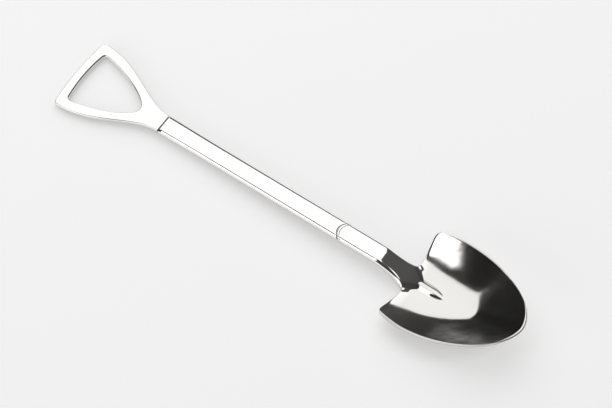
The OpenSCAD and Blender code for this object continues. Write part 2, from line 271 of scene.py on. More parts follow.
class SteelFinish(PropertyGroup):
    """Colours and sizes of the steel's finish."""

    mirror_colour: colour("Mirror polish", "Colour of the flat, mirror-polished tops", "#e4e3e1")
    buffed_colour: colour("Buffed hollow", "Colour of the buffed hollow of the blade", "#cdcbc8")
    mirror_roughness: factor("Mirror roughness", "Least roughness of the mirror polish", 0.04)
    mirror_haze: factor("Mirror haze", "Roughness that patches of haze add to the mirror polish", 0.04)
    buffed_roughness: factor("Buffed roughness", "Least roughness of the buffed hollow", 0.06)
    buffed_haze: factor("Buffed haze", "Roughness that patches of haze add to the buffed hollow", 0.09)
    haze_size: size("Haze size", "Size of the patches of haze", 6)
    hollow_start: size("Hollow start", "From the back edge to where the buffed finish starts", -1)
    hollow_fade: size("Hollow fade", "Length over which the mirror polish turns into the buffed finish", 4)
    rib_side: size("Rib side", "Half width of the mirror polish along the rib", 0.6)
    rib_fade: size("Rib fade", "Width over which the polish turns beside the rib", 1.6)
    line_width: size("Line width", "Width of the lines that the buffing wheel leaves along the hollow", 0.35)
    line_depth: size("Line depth", "Depth of the lines that the buffing wheel leaves", 0.0012)
    wave_length: size("Wave length", "Length of the uneven waves that buffing by hand leaves", 6)
    wave_depth: size("Wave depth", "Depth of the uneven waves that buffing by hand leaves", 0.03)
    rod_colour: colour("Rod", "Colour of the drawn dowel rod", "#b4b3b0")
    rod_roughness: factor("Rod roughness", "Least roughness of the drawn rod", 0.25)
    rod_haze: factor("Rod haze", "Roughness that the lines add to the drawn rod", 0.2)
    rod_line: size("Rod line", "Width of the lines along the drawn rod", 0.1)


class OverheadSoftbox(PropertyGroup):
    """The large softbox that the flat tops reflect."""

    __annotations__ = softbox(
        (-168, 1060, 903), width=1708.5, depth=2009, turn=-22.2, tilt=-9.57, radiance=1.35
    )


class SideSoftbox(PropertyGroup):
    """The smaller softbox that the near shoulders reflect."""

    __annotations__ = softbox((-517, -218, 1000), width=600, depth=250, turn=8, tilt=0, radiance=2.1)


class FarStrip(PropertyGroup):
    """The dim strip of light, far off and low, that the blade's walls reflect."""

    __annotations__ = softbox((50, 974, 30), width=240, depth=14, turn=-24, tilt=-90, radiance=0.7)


class StageSettings(PropertyGroup):
    """The table, the room around it and the camera."""

    table_size: size("Table size", "Side of the square table", 12000)
    table_colour: colour("Table", "Colour of the table in the lamps' light", "#cccccc")
    table_glow: colour("Table glow", "Colour that the table has of itself where it is seen", "#f0f0f0")
    table_roughness: factor("Table roughness", "Roughness of the table's paint", 0.9)
    # Painted contact shade: the table's glow is dimmed near the spoon, within this reach, down to the first
    # strength below
    painted_shade_reach: size("Contact reach", "Height up to which the spoon shades the table's own glow", 8)
    painted_shade_glow: factor("Contact glow", "Strength of the glow where the spoon covers the table", 0.33)
    open_glow: factor("Open glow", "Strength of the glow on the open table", 0.61)
    wall_heading: heading("Wall heading", "Direction in which the walls are lighter", 0.55, 0.15, 0.6)
    wall_reach: factor("Wall reach", "How far in that direction the walls are at their lightest", 0.8)
    wall_dark: factor("Wall dark", "Brightness of the walls at their darkest", 0.02)
    wall_light: factor("Wall light", "Brightness of the walls at their lightest", 0.095)
    front_heading: heading("Front heading", "Direction of the bright wall in front", -0.77, -0.64, 0)
    front_start: factor("Front start", "How far in that direction the bright wall starts", 0.74)
    front_full: factor("Front full", "How far in that direction the bright wall is at full strength", 0.84)
    front_light: factor("Front light", "Brightness that the wall in front adds", 1.25)
    azimuth: angle("Azimuth", "Direction that the camera stands in, from the front towards the right", 35.1)
    elevation: angle("Elevation", "Height of the camera as an angle", 62)
    distance: size("Distance", "From the camera to the place that it looks at", 844.3)
    target_along: size("Target along", "Place that the camera looks at, along the spoon", 1.965)
    target_across: size("Target across", "Place that the camera looks at, across the spoon", 3.285)
    view_angle: angle("View angle", "Width of the camera's view", 11.60564)


def ease(t):
    """Smooth step from 0 to 1."""
    t = min(max(t, 0), 1)
    return t * t * (3 - 2 * t)


def blend(a, b, t):
    """Place between two values."""
    return a + (b - a) * t


def soft(value, width):
    """Turns smoothly from 0 to the value itself, within a width to each side of 0."""
    if value <= -width:
        return 0
    return value if value >= width else (value + width) ** 2 / (4 * width)


def cubic(a, b, c, d, steps):
    """Points of a cubic curve, without its first one."""
    points = []
    for k in range(1, steps + 1):
        t = k / steps
        u = 1 - t
        points.append(u**3 * a + 3 * u * u * t * b + 3 * u * t * t * c + t**3 * d)
    return points


class SpoonShape:
    """The spoon's surfaces, drawn level: X from the grip's end to the tip, Z = 0 on the flat top."""

    # Reach of a rounded corner's curve towards the sharp corner
    CORNER_PULL = 0.6

    # Slope of the finger hole's sides at the end bar, and reach of the curves from there and from its apex
    HOLE_SLOPE = 0.18
    HOLE_SIDE_PULL = 0.54
    HOLE_APEX_PULL = 0.32

    # Fall of the slanting shoulders and of the chamfers below them
    FLANK_SLOPE = 0.48
    CHAMFER_SLOPE = 1.25

    # Roundness of the blade's tip in plan, where 2 is an ellipse and less is more pointed
    PLAN_POWER = 1.8

    # Share of the way from the belly to the tip at which the sides end and the tip's arc starts
    TIP_SHARE = 0.86

    # Share of the way out to the rim at which the wall starts, and how much it eases off at the tip
    SIDE_WALL_START = 0.6
    TIP_WALL_START = 0.34
    BACK_WALL_START = 0.75
    TIP_WALL_EASE = 0.3

    # Share of the rim's rise that comes late, and share of the way out at which its top edge draws in
    RIM_CURL = 0.6
    INSET_START = 0.6

    # How fast the foot draws in past the back edge
    FOOT_DRAW = 0.3

    def __init__(self, scene):
        self.grip = scene.spoon_grip
        self.shaft = scene.spoon_shaft
        self.blade = scene.spoon_blade
        self.seam_x = self.grip.length
        self.mouth_x = self.seam_x + self.shaft.length
        self.back_x = self.mouth_x + self.blade.socket_length
        self.belly_x = self.back_x + self.blade.belly
        self.tip_x = self.back_x + self.blade.length
        self.bend_x = self.back_x - self.blade.bend_length
        self.flare_x = self.back_x - self.blade.foot_flare
        self.corner_y = self.blade.width / 2 - self.blade.corner_inset
        self.corner_x = self.back_x - self.blade.back_sweep + self.blade.corner_length
        self.arc_x = blend(self.belly_x, self.tip_x, self.TIP_SHARE)
        self.foot_share = self.blade.foot_width / 2 / self.corner_y
        self.foot_x = self.back_x + self.blade.foot_reach
        self.rib_x = self.back_x + self.blade.rib_length
        self.foot_z = self.floor_top(self.foot_x, 0) + self.blade.rib_height
        self.slope = self.foot_z / (self.foot_x - self.bend_x)

    def corner(self, a, sharp, b):
        """Rounded corner from a to b about a sharp corner."""
        return cubic(a, a.lerp(sharp, self.CORNER_PULL), b.lerp(sharp, self.CORNER_PULL), b, CORNER_STEPS)

    def end_edge(self, x, reach, half_width):
        """Bowed end edge, from its corner in to the middle line."""
        shares = [1 - k / END_STEPS for k in range(1, END_STEPS + 1)]
        return [Vector((x + self.grip.end_bow * (reach * s / half_width) ** 2, reach * s)) for s in shares]

    def grip_edge(self):
        """Half of the grip's outline, from the middle of the seam to the middle of the end bar."""
        grip = self.grip
        half_width = grip.width / 2
        reach = half_width - grip.outer_corner
        edge_x = grip.end_bow * (reach / half_width) ** 2
        shoulder = Vector((edge_x + grip.outer_corner, half_width))
        neck = Vector((self.seam_x - self.shaft.seam_gap, self.shaft.neck_width / 2))
        seam = [Vector((neck.x, neck.y * k / SEAM_STEPS)) for k in range(SEAM_STEPS + 1)]
        neck_pull = neck - Vector((grip.neck_reach, 0))
        shoulder_pull = shoulder + Vector((grip.shoulder_reach, 0))
        flank = cubic(neck, neck_pull, shoulder_pull, shoulder, FLANK_STEPS)
        corner = self.corner(shoulder, Vector((edge_x, half_width)), Vector((edge_x, reach)))
        return seam + flank + corner + self.end_edge(0, reach, half_width)

    def hole_edge(self):
        """Half of the finger hole's outline, from its apex to the middle of the end bar."""
        grip = self.grip
        half_width = grip.width / 2 - grip.side_bar
        reach = half_width - grip.hole_corner
        edge_x = grip.end_bar + grip.end_bow * (reach / half_width) ** 2
        side = Vector((edge_x + grip.hole_corner, half_width))
        apex = Vector((self.seam_x - grip.neck_length, 0))
        apex_pull = apex + Vector((0, self.HOLE_APEX_PULL * half_width))
        side_pull = side + self.HOLE_SIDE_PULL * (apex.x - side.x) * Vector((1, -self.HOLE_SLOPE))
        flank = cubic(apex, apex_pull, side_pull, side, SEAM_STEPS + FLANK_STEPS)
        corner = self.corner(side, Vector((edge_x, half_width)), Vector((edge_x, reach)))
        return [apex] + flank + corner + self.end_edge(grip.end_bar, reach, half_width)

    def edge_drop(self, inset, reach, shoulder_blend, chamfer, turn):
        """Drop at a distance in from an edge: a soft shoulder, a steep chamfer and a rounding that turns."""
        shoulder = soft(self.FLANK_SLOPE * (reach - inset), shoulder_blend)
        steeper = self.CHAMFER_SLOPE - self.FLANK_SLOPE
        below = soft(steeper * (chamfer - inset), self.shaft.chamfer_blend)
        return shoulder + below + self.shaft.edge_height * (1 - cos(turn))

    def edge_turn(self, step, top_steps):
        """How far the rounding has turned at a step past those of the top."""
        return pi / 2 * max(0, step - top_steps) / EDGE_COLUMNS

    def bar_side(self, column, half_width):
        """Place across a bar, for a column from -1 to 1."""
        step = abs(column) * BAR_COLUMNS
        across = 1 - max(0, 1 - step / BAR_TOP_COLUMNS) ** EDGE_CROWDING
        rounding = self.shaft.edge_width
        y = (half_width - rounding) * across + rounding * sin(self.edge_turn(step, BAR_TOP_COLUMNS))
        return y if column > 0 else -y

    def bar_drop(self, column, half_width, shoulder_blend):
        """Drop of a bar's top below its middle, for a column from -1 to 1."""
        shaft = self.shaft
        inset = half_width - abs(self.bar_side(column, half_width))
        turn = self.edge_turn(abs(column) * BAR_COLUMNS, BAR_TOP_COLUMNS)
        return self.edge_drop(inset, shaft.shoulder_reach, shoulder_blend, shaft.chamfer, turn)

    def plate_edge(self, step):
        """Distance in from the grip plate's edge and the drop there, from its flat top out to its side."""
        grip = self.grip
        turn = self.edge_turn(step, PLATE_TOP_STEPS)
        flat = grip.edge_reach + grip.edge_blend / self.FLANK_SLOPE
        inset = blend(flat, self.shaft.edge_width, min(1, step / PLATE_TOP_STEPS))
        inset -= self.shaft.edge_width * sin(turn)
        return inset, self.edge_drop(inset, grip.edge_reach, grip.edge_blend, grip.chamfer, turn)

    def mouth_curve(self, column):
        """How far a column of the bar lies past the middle of the socket's bowed mouth."""
        half_width = self.shaft.width / 2
        return self.blade.mouth_bow * (self.bar_side(column, half_width) / half_width) ** 2

    def shaft_point(self, along, column, top):
        """Place on the shaft, from the grip's seam to the socket's mouth."""
        shaft = self.shaft
        start_x = self.seam_x + shaft.seam_gap
        end_x = self.mouth_x - shaft.seam_gap + self.mouth_curve(column)
        x = blend(start_x, end_x, along)
        narrowing = ease((x - self.seam_x) / shaft.neck_taper)
        half_width = blend(shaft.neck_width, shaft.width, narrowing) / 2
        way = min(1, (x - self.seam_x) / shaft.length)
        drop = self.bar_drop(column, half_width, blend(shaft.neck_blend, shaft.shoulder_blend, way))
        depth = blend(shaft.thickness, shaft.socket_thickness, way)
        return Vector((x, self.bar_side(column, half_width), -drop if top else drop - depth))

    def tip_arc(self, way):
        """Height of the tip's arc on the way to its end, from 1 down to 0."""
        return (1 - min(1, way) ** self.PLAN_POWER) ** (1 / self.PLAN_POWER)

    def blade_half_width(self, x):
        """Half width of the blade's side in plan."""
        blade = self.blade
        if x < self.belly_x:
            back_way = (self.belly_x - x) / (self.belly_x - self.corner_x)
            return blade.width / 2 - blade.corner_inset * back_way**2
        return blade.width / 2 * self.tip_arc(self.tip_way(x))

    def arc_edge(self, y):
        """Place of the tip's arc along X."""
        return self.belly_x + (self.tip_x - self.belly_x) * self.tip_arc(abs(y) / (self.blade.width / 2))

    def back_edge(self, y):
        """Place of the back edge along X."""
        blade = self.blade
        foot = blade.foot_width / 2
        out = max(0, abs(y) - foot) / (self.corner_y - foot)
        turn = min(1, max(0, (abs(y) - self.corner_y + blade.corner_round) / blade.corner_round))
        return self.back_x - blade.back_sweep * out + blade.corner_length * (1 - sqrt(1 - turn * turn))

    def blade_plan(self, along, share):
        """Place in plan, from the back edge to the tip's arc and from side to side."""
        side_x = blend(self.corner_x, self.arc_x, along)
        back = self.back_edge(share * self.corner_y) - self.corner_x
        front = self.arc_edge(share * self.blade_half_width(self.arc_x)) - self.arc_x
        return side_x + back * (1 - along) ** 2 + front * along**2, share * self.blade_half_width(side_x)

    def rim_height(self, x):
        """Height of the rim's underside."""
        t = (x - self.corner_x) / (self.tip_x - self.corner_x)
        return blend(self.blade.rim_back, self.blade.rim_tip, blend(t, t * t, self.RIM_CURL))

    def tip_way(self, x):
        """Share of the way from the belly to the tip."""
        return max(0, x - self.belly_x) / (self.tip_x - self.belly_x)

    def out_share(self, x, y):
        """Share of the way from the floor's middle out to the rim."""
        if x < self.belly_x:
            return abs(y) / self.blade_half_width(x)
        across = abs(y) / (self.blade.width / 2)
        return (self.tip_way(x) ** self.PLAN_POWER + across**self.PLAN_POWER) ** (1 / self.PLAN_POWER)

    def hollow(self, out, wall_start, wall_ease):
        """Share of the blade's depth on the way out: a round floor, then a wall that eases off."""
        floor_share = wall_start / 2
        wall_width = 1 - wall_start
        steepest = 1 / (floor_share + wall_width * (1 - wall_ease / 2))
        if out < wall_start:
            return steepest * floor_share * (out / wall_start) ** 2
        over = out - wall_start
        return steepest * (floor_share + over * (1 - wall_ease / 2 * over / wall_width))

    def floor_top(self, x, y):
        """Height of the blade's floor without the rib."""
        blade = self.blade
        back_way = (max(0, self.belly_x - x) / blade.belly) ** 2
        tip_turn = ease(self.tip_way(x))
        wall_start = blend(self.SIDE_WALL_START, self.BACK_WALL_START, back_way)
        wall_start += (self.TIP_WALL_START - self.SIDE_WALL_START) * tip_turn
        floor_z = blade.belly_thickness - blade.belly_drop + blade.floor_rise * back_way
        depth_share = self.hollow(self.out_share(x, y), wall_start, self.TIP_WALL_EASE * tip_turn)
        return blend(floor_z, blade.thickness + self.rim_height(x), depth_share)

    def underside(self, x, y):
        """Height of the blade's underside."""
        thinning = min(1, self.out_share(x, y)) ** 2
        return self.floor_top(x, y) - blend(self.blade.belly_thickness, self.blade.thickness, thinning)

    def crest(self, x):
        """Height of the socket's top, its slope and the rib along the middle line."""
        blade = self.blade
        dip = -soft(-self.slope * (x - self.bend_x), blade.bend_blend)
        to_tip = min(1, max(0, (self.rib_x - x) / blade.rib_end))
        rib = self.floor_top(max(x, self.back_x), 0) + blade.rib_height * to_tip * (3 - to_tip**2) / 2
        return rib + soft(dip - rib, blade.foot_blend)

    def flank(self, x, y):
        """Fall from the crest to the side, beside the flat top."""
        taper_x = self.back_x - self.blade.taper_start
        taper = min(1, max(0, (x - taper_x) / (self.foot_x - taper_x)))
        flat = blend(self.shaft.width / 2, self.blade.rib_flat, taper)
        return soft(self.FLANK_SLOPE * (abs(y) - flat), self.blade.crest_blend)

    def foot_turn(self, x):
        """How far the bar has turned into the foot: fully at the back edge, and fading past it."""
        if x > self.back_x:
            return 1 - ease((x - self.back_x) / self.blade.foot_fade)
        return ease((x - self.flare_x) / self.blade.foot_flare)

    def foot_edge(self, x):
        """Half width of the foot: it flares to the back edge and draws in past it."""
        blade = self.blade
        if x > self.back_x:
            return blade.foot_width / 2 - self.FOOT_DRAW * (x - self.back_x)
        flare = min(1, max(0, (x - self.flare_x) / blade.foot_flare))
        return blend(self.shaft.width, blade.foot_width, 1 - sqrt(1 - flare * flare)) / 2

    def foot_top(self, x, y):
        """Height of the socket's slope, of its foot and of the rib, down to the blade's floor."""
        blade = self.blade
        step = blade.foot_step * self.foot_turn(x)
        floor = self.floor_top(max(x, self.back_x), y)
        over = self.crest(x) - step - self.flank(x, y) - floor
        inside = ease((self.foot_edge(x) - abs(y)) / blade.foot_rim)
        return floor + soft(over, blade.rib_blend) + step * inside

    def back_roll(self, x, y):
        """Drop of the floor where it rolls over the back edge."""
        blade = self.blade
        wing = ease((abs(y) - blade.foot_width / 2) / blade.roll_width)
        short = max(0, 1 - (x - self.back_edge(y)) / blade.roll_width)
        return wing * blade.roll_depth * short * short

    def bowl_point(self, along, share, top):
        """Place on the bowl's top or on its underside."""
        blade = self.blade
        x, y = self.blade_plan(along, share)
        if not top:
            return Vector((x, y, self.underside(x, y)))
        near_rim = max(0, (self.out_share(x, y) - self.INSET_START) / (1 - self.INSET_START))
        inset = blade.rim_inset * near_rim**2
        x -= inset * self.tip_way(x) ** 2
        y -= inset * y / (blade.width / 2)
        return Vector((x, y, self.foot_top(x, y) - self.back_roll(x, y)))

    def socket_point(self, x_along, column, top):
        """Place on the socket: a bar at its mouth that melts into the blade's first row."""
        blade = self.blade
        x = self.mouth_x + x_along + self.mouth_curve(column) * (1 - x_along / blade.socket_length) ** 2
        y = self.bar_side(column, self.foot_edge(x))
        drop = self.bar_drop(column, self.foot_edge(x), self.shaft.shoulder_blend)
        share = self.foot_turn(x)
        if top:
            lip = blade.lip_height * ease((blade.lip_width - x_along) / blade.lip_fall)
            return Vector((x, y, self.foot_top(x, y) + lip - drop * (1 - share)))
        foot_y = self.bar_side(column, blade.foot_width / 2)
        foot = self.underside(self.back_x, foot_y) - self.crest(self.back_x)
        return Vector((x, y, self.crest(x) + blend(drop - self.shaft.socket_thickness, foot, share)))


def spaced(step, count, near_margin, far_margin):
    """Even steps from 0 to 1, with a narrow one at each end that has a margin."""
    if step in (0, count):
        return step / count
    first = 1 if near_margin else 0
    last = count - 1 if far_margin else count
    return blend(near_margin, 1 - far_margin, (step - first) / (last - first))


def row_number(place, count):
    """Number of a row on a slab that runs from -1 to 1."""
    return round((place + 1) / 2 * count)


def inset_point(edge, step, inset, by_hole):
    """Place at a distance in from one step of the half outline of the plate or of its hole."""
    point = edge[step]
    if not by_hole and step <= SEAM_STEPS:
        return Vector((point.x, point.y * (1 - inset / edge[SEAM_STEPS].y)))
    mirrored = Vector((1, -1))
    before = edge[step - 1] if step else edge[1] * mirrored
    after = edge[step + 1] if step < len(edge) - 1 else edge[-2] * mirrored
    along = (after - before).normalized()
    side = Vector((-along.y, along.x))
    return point + inset * (-side if by_hole else side)


def start_fresh():
    """Leaves edit mode and deselects everything."""
    if bpy.context.object and bpy.context.object.mode != "OBJECT":
        bpy.ops.object.mode_set(mode="OBJECT")
    bpy.ops.object.select_all(action="DESELECT")


def flat_slab(name, rows, columns):
    """Adds a slab from -1 to 1 both ways, whose underside is at 0 and whose top is at 1."""
    start_fresh()
    bpy.ops.mesh.primitive_grid_add(x_subdivisions=rows, y_subdivisions=columns, size=2)
    slab = bpy.context.object
    slab.name = name
    bpy.ops.object.mode_set(mode="EDIT")
    bpy.ops.mesh.select_all(action="SELECT")
    bpy.ops.mesh.extrude_region_move(TRANSFORM_OT_translate={"value": (0, 0, 1)})
    return slab


def select_faces(piece, wanted):
    """Selects only the faces whose centre is wanted."""
    bpy.context.tool_settings.mesh_select_mode = (False, False, True)
    bpy.ops.mesh.select_all(action="DESELECT")
    mesh = bmesh.from_edit_mesh(piece.data)
    for face in mesh.faces:
        face.select_set(wanted(face.calc_center_median()))
    bmesh.update_edit_mesh(piece.data)


def place_corners(piece, shape_point):
    """Moves each corner from its place in the flat layout to its true place."""
    for vertex in piece.data.vertices:
        vertex.co = shape_point(vertex.co)


def turn_outward():
    """Merges doubles, turns all faces outwards and leaves edit mode."""
    bpy.ops.object.mode_set(mode="EDIT")
    bpy.ops.mesh.select_all(action="SELECT")
    bpy.ops.mesh.remove_doubles(threshold=MERGE_DISTANCE)
    bpy.ops.mesh.normals_make_consistent(inside=False)
    bpy.ops.object.mode_set(mode="OBJECT")


def round_off(piece):
    """Subdivides the surface once and shades it smooth."""
    modifier = piece.modifiers.new("Round", "SUBSURF")
    modifier.levels = 1
    modifier.render_levels = 1
    bpy.ops.object.modifier_apply(modifier=modifier.name)
    bpy.ops.object.shade_smooth()


def lie_on_table(piece, shape):
    """Tilts a level piece to lie on the grip's end and the blade's belly."""
    thickness = shape.grip.thickness
    end_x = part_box("grip")[0].x + thickness * sin(REST_TILT)
    tilt = Matrix.Rotation(-REST_TILT, 4, "Y")
    piece.matrix_world = Matrix.Translation((end_x, 0, 0)) @ tilt @ Matrix.Translation((0, 0, thickness))
    bpy.ops.object.transform_apply(location=True, rotation=True, scale=True)


def hand_over(piece, node, material):
    """Gives a finished piece its material and puts it in the place of its node."""
    low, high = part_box(node)
    corners = [vertex.co for vertex in piece.data.vertices]
    for axis in range(3):
        places = [corner[axis] for corner in corners]
        if abs(min(places) - low[axis]) > NODE_MARGIN or abs(max(places) - high[axis]) > NODE_MARGIN:
            raise RuntimeError(f"{piece.name} has left the place of {node} along axis {axis}")
    piece.data.materials.clear()
    piece.data.materials.append(material)
    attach(piece, "root")
    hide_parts(node)


def add_node(tree, kind, inputs=None, **settings):
    """Adds a node with its settings, and sets or links its inputs."""
    node = tree.nodes.new(kind)
    for name, value in settings.items():
        setattr(node, name, value)
    for name, value in (inputs or {}).items():
        if isinstance(value, bpy.types.NodeSocket):
            tree.links.new(value, node.inputs[name])
        else:
            node.inputs[name].default_value = value
    return node


def new_material(name):
    """A material whose tree is empty."""
    material = bpy.data.materials.new(name)
    material.use_nodes = True
    material.node_tree.nodes.clear()
    return material


def lengthwise_lines(tree, here, width, detail):
    """Fine lines of a width, drawn long along the spoon."""
    stretched = add_node(tree, "ShaderNodeMapping", {"Vector": here, "Scale": LINE_STRETCH})
    return add_node(
        tree,
        "ShaderNodeTexNoise",
        {"Vector": stretched.outputs["Vector"], "Scale": 1 / width, "Detail": detail},
    ).outputs["Fac"]


# Stainless steel, pressed and then polished on a wheel: a near mirror, in a grey that is hardly warm. The
# wheel reaches less well into the hollow, which looks softer, a little darker and faintly waved. The lines
# that it leaves are about 0.05 mm wide, and are drawn coarser so that they show.
def polished_stainless_steel(scene):
    """Steel of the grip, shaft and blade, which share it."""
    name = "polished_stainless_steel"
    if name in bpy.data.materials:
        return bpy.data.materials[name]
    finish = scene.spoon_finish
    material = new_material(name)
    tree = material.node_tree
    here = add_node(tree, "ShaderNodeTexCoord").outputs["Object"]
    sides = add_node(tree, "ShaderNodeSeparateXYZ", {"Vector": here}).outputs
    across = add_node(tree, "ShaderNodeMath", {0: sides["Y"]}, operation="ABSOLUTE").outputs["Value"]

    start_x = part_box("blade")[0].x + scene.spoon_blade.socket_length + finish.hollow_start
    past_back = add_node(
        tree,
        "ShaderNodeMapRange",
        {"Value": sides["X"], "From Min": start_x, "From Max": start_x + finish.hollow_fade},
    ).outputs["Result"]
    rib_side = finish.rib_side
    hollow = add_node(
        tree,
        "ShaderNodeMapRange",
        {"Value": across, "From Min": rib_side, "From Max": rib_side + finish.rib_fade, "To Max": past_back},
    ).outputs["Result"]

    tint = add_node(tree, "ShaderNodeValToRGB", {"Fac": past_back})
    tint.color_ramp.elements[0].color = finish.mirror_colour
    tint.color_ramp.elements[1].color = finish.buffed_colour

    haze = add_node(
        tree, "ShaderNodeTexNoise", {"Vector": here, "Scale": 1 / finish.haze_size, "Detail": HAZE_DETAIL}
    ).outputs["Fac"]
    polishes = (
        (finish.mirror_roughness, finish.mirror_haze),
        (finish.buffed_roughness, finish.buffed_haze),
    )
    mirror, buffed = [
        add_node(tree, "ShaderNodeMapRange", {"Value": haze, "To Min": least, "To Max": least + more})
        for least, more in polishes
    ]
    roughness = add_node(
        tree,
        "ShaderNodeMapRange",
        {"Value": hollow, "To Min": mirror.outputs["Result"], "To Max": buffed.outputs["Result"]},
    ).outputs["Result"]

    waves = add_node(
        tree, "ShaderNodeTexNoise", {"Vector": here, "Scale": 1 / finish.wave_length}
    ).outputs["Fac"]
    waved = add_node(
        tree, "ShaderNodeBump", {"Strength": hollow, "Distance": finish.wave_depth, "Height": waves}
    ).outputs["Normal"]
    lines = lengthwise_lines(tree, here, finish.line_width, BUFFING_DETAIL)
    lined = add_node(
        tree,
        "ShaderNodeBump",
        {"Strength": hollow, "Distance": finish.line_depth, "Height": lines, "Normal": waved},
    ).outputs["Normal"]

    shader = add_node(
        tree,
        "ShaderNodeBsdfPrincipled",
        {"Base Color": tint.outputs["Color"], "Metallic": 1, "Roughness": roughness, "Normal": lined},
    )
    add_node(tree, "ShaderNodeOutputMaterial", {"Surface": shader.outputs["BSDF"]})
    return material


# Steel rod, drawn cold through a die: satin, in a plain grey, with fine lines along its length. They are
# drawn coarser than the real ones so that they show.
def drawn_steel_rod(finish):
    """Steel of the two dowels."""
    material = new_material("drawn_steel_rod")
    tree = material.node_tree
    here = add_node(tree, "ShaderNodeTexCoord").outputs["Object"]
    lines = lengthwise_lines(tree, here, finish.rod_line, ROD_DETAIL)
    least = finish.rod_roughness
    roughness = add_node(
        tree, "ShaderNodeMapRange", {"Value": lines, "To Min": least, "To Max": least + finish.rod_haze}
    ).outputs["Result"]
    shader = add_node(
        tree,
        "ShaderNodeBsdfPrincipled",
        {"Base Color": finish.rod_colour, "Metallic": 1, "Roughness": roughness},
    )
    add_node(tree, "ShaderNodeOutputMaterial", {"Surface": shader.outputs["BSDF"]})
    return material


# Board with matt white paint, rolled on: an even pale grey without gloss, which shows a soft cast shadow.
# Its glow is dimmed close to the spoon by ambient occlusion, as painted contact shade.
def table_paint(settings):
    """Paint of the table, which glows a little where it is seen, so that it stays pale; that glow carries
    painted shade close to the spoon.
    """
    material = new_material("table_paint")
    tree = material.node_tree
    rays = add_node(tree, "ShaderNodeLightPath").outputs
    seen = add_node(
        tree, "ShaderNodeMath", {0: rays["Is Camera Ray"], 1: rays["Is Glossy Ray"]}, operation="MAXIMUM"
    ).outputs["Value"]
    # Painted contact shade: ambient occlusion dims the glow where the spoon covers the table
    painted_shade_openness = add_node(
        tree, "ShaderNodeAmbientOcclusion", {"Distance": settings.painted_shade_reach}, samples=PAINTED_SHADE_RAYS
    ).outputs["AO"]
    strength = add_node(
        tree,
        "ShaderNodeMapRange",
        {"Value": painted_shade_openness, "To Min": settings.painted_shade_glow, "To Max": settings.open_glow},
    ).outputs["Result"]
    glow = add_node(tree, "ShaderNodeMath", {0: seen, 1: strength}, operation="MULTIPLY").outputs["Value"]
    shader = add_node(
        tree,
        "ShaderNodeBsdfPrincipled",
        {
            "Base Color": settings.table_colour,
            "Roughness": settings.table_roughness,
            "Specular IOR Level": 0,
            "Emission Color": settings.table_glow,
            "Emission Strength": glow,
        },
    )
    add_node(tree, "ShaderNodeOutputMaterial", {"Surface": shader.outputs["BSDF"]})
    return material


def lay_table(settings):
    """Adds the table that the spoon lies on."""
    start_fresh()
    bpy.ops.mesh.primitive_plane_add(size=settings.table_size)
    table = bpy.context.object
    table.name = "table"
    table.data.materials.append(table_paint(settings))


def hang_softbox(name, lamp, facing):
    """Adds a rectangular lamp in its place on the stage."""
    bpy.ops.object.light_add(type="AREA")
    softbox = bpy.context.object
    softbox.name = name
    softbox.data.shape = "RECTANGLE"
    softbox.data.size = lamp.width
    softbox.data.size_y = lamp.depth
    softbox.data.energy = lamp.radiance * pi * lamp.width * lamp.depth
    turned = Matrix.Rotation(lamp.tilt, 4, "X") @ Matrix.Rotation(lamp.turn, 4, "Z")
    softbox.matrix_world = facing @ Matrix.Translation(lamp.place) @ turned
    softbox.visible_camera = False


def dim_room(settings, facing):
    """A room whose walls are dim all round, lighter to one side and bright in one place in front."""
    room = bpy.data.worlds.new("studio")
    room.use_nodes = True
    tree = room.node_tree
    look = add_node(tree, "ShaderNodeTexCoord").outputs["Generated"]
    to_light, to_front = [
        add_node(
            tree, "ShaderNodeVectorMath", {0: look, 1: facing @ Vector(wall)}, operation="DOT_PRODUCT"
        ).outputs["Value"]
        for wall in (settings.wall_heading, settings.front_heading)
    ]
    walls = add_node(
        tree,
        "ShaderNodeMapRange",
        {
            "Value": to_light,
            "From Max": settings.wall_reach,
            "To Min": settings.wall_dark,
            "To Max": settings.wall_light,
        },
    ).outputs["Result"]
    front = add_node(
        tree,
        "ShaderNodeMapRange",
        {
            "Value": to_front,
            "From Min": settings.front_start,
            "From Max": settings.front_full,
            "To Max": settings.front_light,
        },
    ).outputs["Result"]
    both = add_node(tree, "ShaderNodeMath", {0: walls, 1: front}, operation="ADD").outputs["Value"]
    tree.links.new(both, tree.nodes["Background"].inputs["Color"])
    return room


def aimed_camera(settings, facing):
    """Adds the camera, aimed at its target on the table."""
    target = Vector((settings.target_along, settings.target_across, 0))
    back = facing @ Vector((0, -cos(settings.elevation), sin(settings.elevation)))
    bpy.ops.object.camera_add()
    camera = bpy.context.object
    camera.location = target + settings.distance * back
    camera.rotation_euler = (pi / 2 - settings.elevation, 0, settings.azimuth)
    camera.data.angle = settings.view_angle
    return camera


